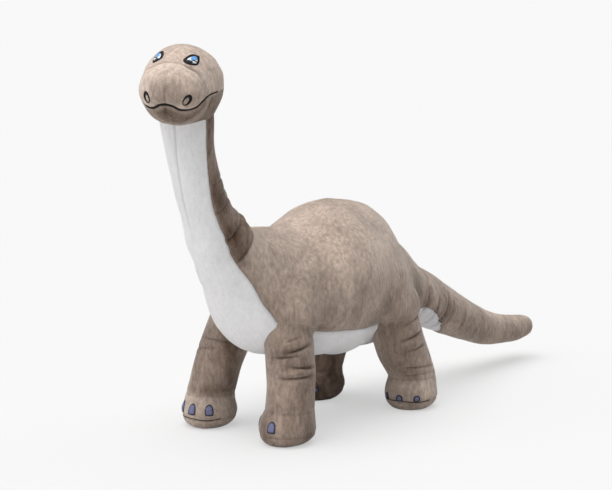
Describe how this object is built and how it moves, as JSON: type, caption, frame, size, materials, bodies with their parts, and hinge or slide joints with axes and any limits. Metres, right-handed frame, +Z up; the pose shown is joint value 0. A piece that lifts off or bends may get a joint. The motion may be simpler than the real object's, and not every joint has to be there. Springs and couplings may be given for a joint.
{
  "type": "plush dinosaur",
  "caption": "Plush long-necked dinosaur standing on stubby legs, short-pile panels over soft stuffing; neck, head, tail and legs bend and spring back.",
  "frame": {"origin": "on the floor, under the middle of the toy's outline", "axes": "+X from the tail towards the head, +Y to the toy's left, +Z up from the floor"},
  "size_m": [0.5568, 0.1456, 0.3486],
  "materials": {
    "brown_plush": "matte",
    "grey_plush": "matte",
    "stuffing": "matte",
    "dark_thread": "satin",
    "eye_thread": "satin",
    "claw_thread": "satin"
  },
  "bodies": {
    "torso": {"torso_side_left": "brown_plush", "torso_side_right": "brown_plush", "belly_panel": "grey_plush", "torso_filling": "stuffing"},
    "neck": {"neck_side_left": "brown_plush", "neck_side_right": "brown_plush", "throat_left": "grey_plush", "throat_right": "grey_plush", "neck_filling": "stuffing"},
    "head": {"crown_left": "brown_plush", "crown_right": "brown_plush", "muzzle_left": "brown_plush", "muzzle_right": "brown_plush", "jaw_left": "brown_plush", "jaw_right": "brown_plush", "head_filling": "stuffing", "eye_left": "eye_thread", "eye_right": "eye_thread", "nostril_left": "dark_thread", "nostril_right": "dark_thread", "mouth_line": "dark_thread"},
    "tail": {"tail_side_left": "brown_plush", "tail_side_right": "brown_plush", "tail_underside": "grey_plush", "tail_filling": "stuffing"},
    "front_left_leg": {"front_left_leg_outer": "brown_plush", "front_left_leg_inner": "brown_plush", "front_left_foot": "brown_plush", "front_left_sole": "brown_plush", "front_left_filling": "stuffing", "front_left_claw_inner": "claw_thread", "front_left_claw_middle": "claw_thread", "front_left_claw_outer": "claw_thread"},
    "front_right_leg": {"front_right_leg_outer": "brown_plush", "front_right_leg_inner": "brown_plush", "front_right_foot": "brown_plush", "front_right_sole": "brown_plush", "front_right_filling": "stuffing", "front_right_claw_inner": "claw_thread", "front_right_claw_middle": "claw_thread", "front_right_claw_outer": "claw_thread"},
    "hind_left_leg": {"hind_left_leg_outer": "brown_plush", "hind_left_leg_inner": "brown_plush", "hind_left_foot": "brown_plush", "hind_left_sole": "brown_plush", "hind_left_filling": "stuffing", "hind_left_claw_inner": "claw_thread", "hind_left_claw_middle": "claw_thread", "hind_left_claw_outer": "claw_thread"},
    "hind_right_leg": {"hind_right_leg_outer": "brown_plush", "hind_right_leg_inner": "brown_plush", "hind_right_foot": "brown_plush", "hind_right_sole": "brown_plush", "hind_right_filling": "stuffing", "hind_right_claw_inner": "claw_thread", "hind_right_claw_middle": "claw_thread", "hind_right_claw_outer": "claw_thread"}
  },
  "joints": [
    {"name": "neck_bend", "type": "hinge", "parent": "torso", "child": "neck", "pos_m": [0.17625, 0.00377, 0.17013], "axis": [0, 1, 0], "range_deg": [-12, 12], "stiffness_Nm_per_rad": 1.2},
    {"name": "head_turn", "type": "hinge", "parent": "neck", "child": "head", "pos_m": [0.22725, 0.00377, 0.31713], "axis": [0, 0, 1], "range_deg": [-40, 10], "stiffness_Nm_per_rad": 0.15},
    {"name": "tail_sway", "type": "hinge", "parent": "torso", "child": "tail", "pos_m": [-0.05244, 0.00377, 0.10207], "axis": [0, 0, 1], "range_deg": [-15, 15], "stiffness_Nm_per_rad": 0.5},
    {"name": "front_left_leg_swing", "type": "hinge", "parent": "torso", "child": "front_left_leg", "pos_m": [0.13582, 0.04183, 0.09516], "axis": [0, 1, 0], "range_deg": [-15, 15], "stiffness_Nm_per_rad": 1.5},
    {"name": "front_right_leg_swing", "type": "hinge", "parent": "torso", "child": "front_right_leg", "pos_m": [0.13582, -0.03428, 0.09516], "axis": [0, 1, 0], "range_deg": [-15, 15], "stiffness_Nm_per_rad": 1.5},
    {"name": "hind_left_leg_swing", "type": "hinge", "parent": "torso", "child": "hind_left_leg", "pos_m": [-0.0074, 0.04183, 0.09516], "axis": [0, 1, 0], "range_deg": [-15, 15], "stiffness_Nm_per_rad": 1.5},
    {"name": "hind_right_leg_swing", "type": "hinge", "parent": "torso", "child": "hind_right_leg", "pos_m": [-0.0074, -0.03428, 0.09516], "axis": [0, 1, 0], "range_deg": [-15, 15], "stiffness_Nm_per_rad": 1.5}
  ]
}
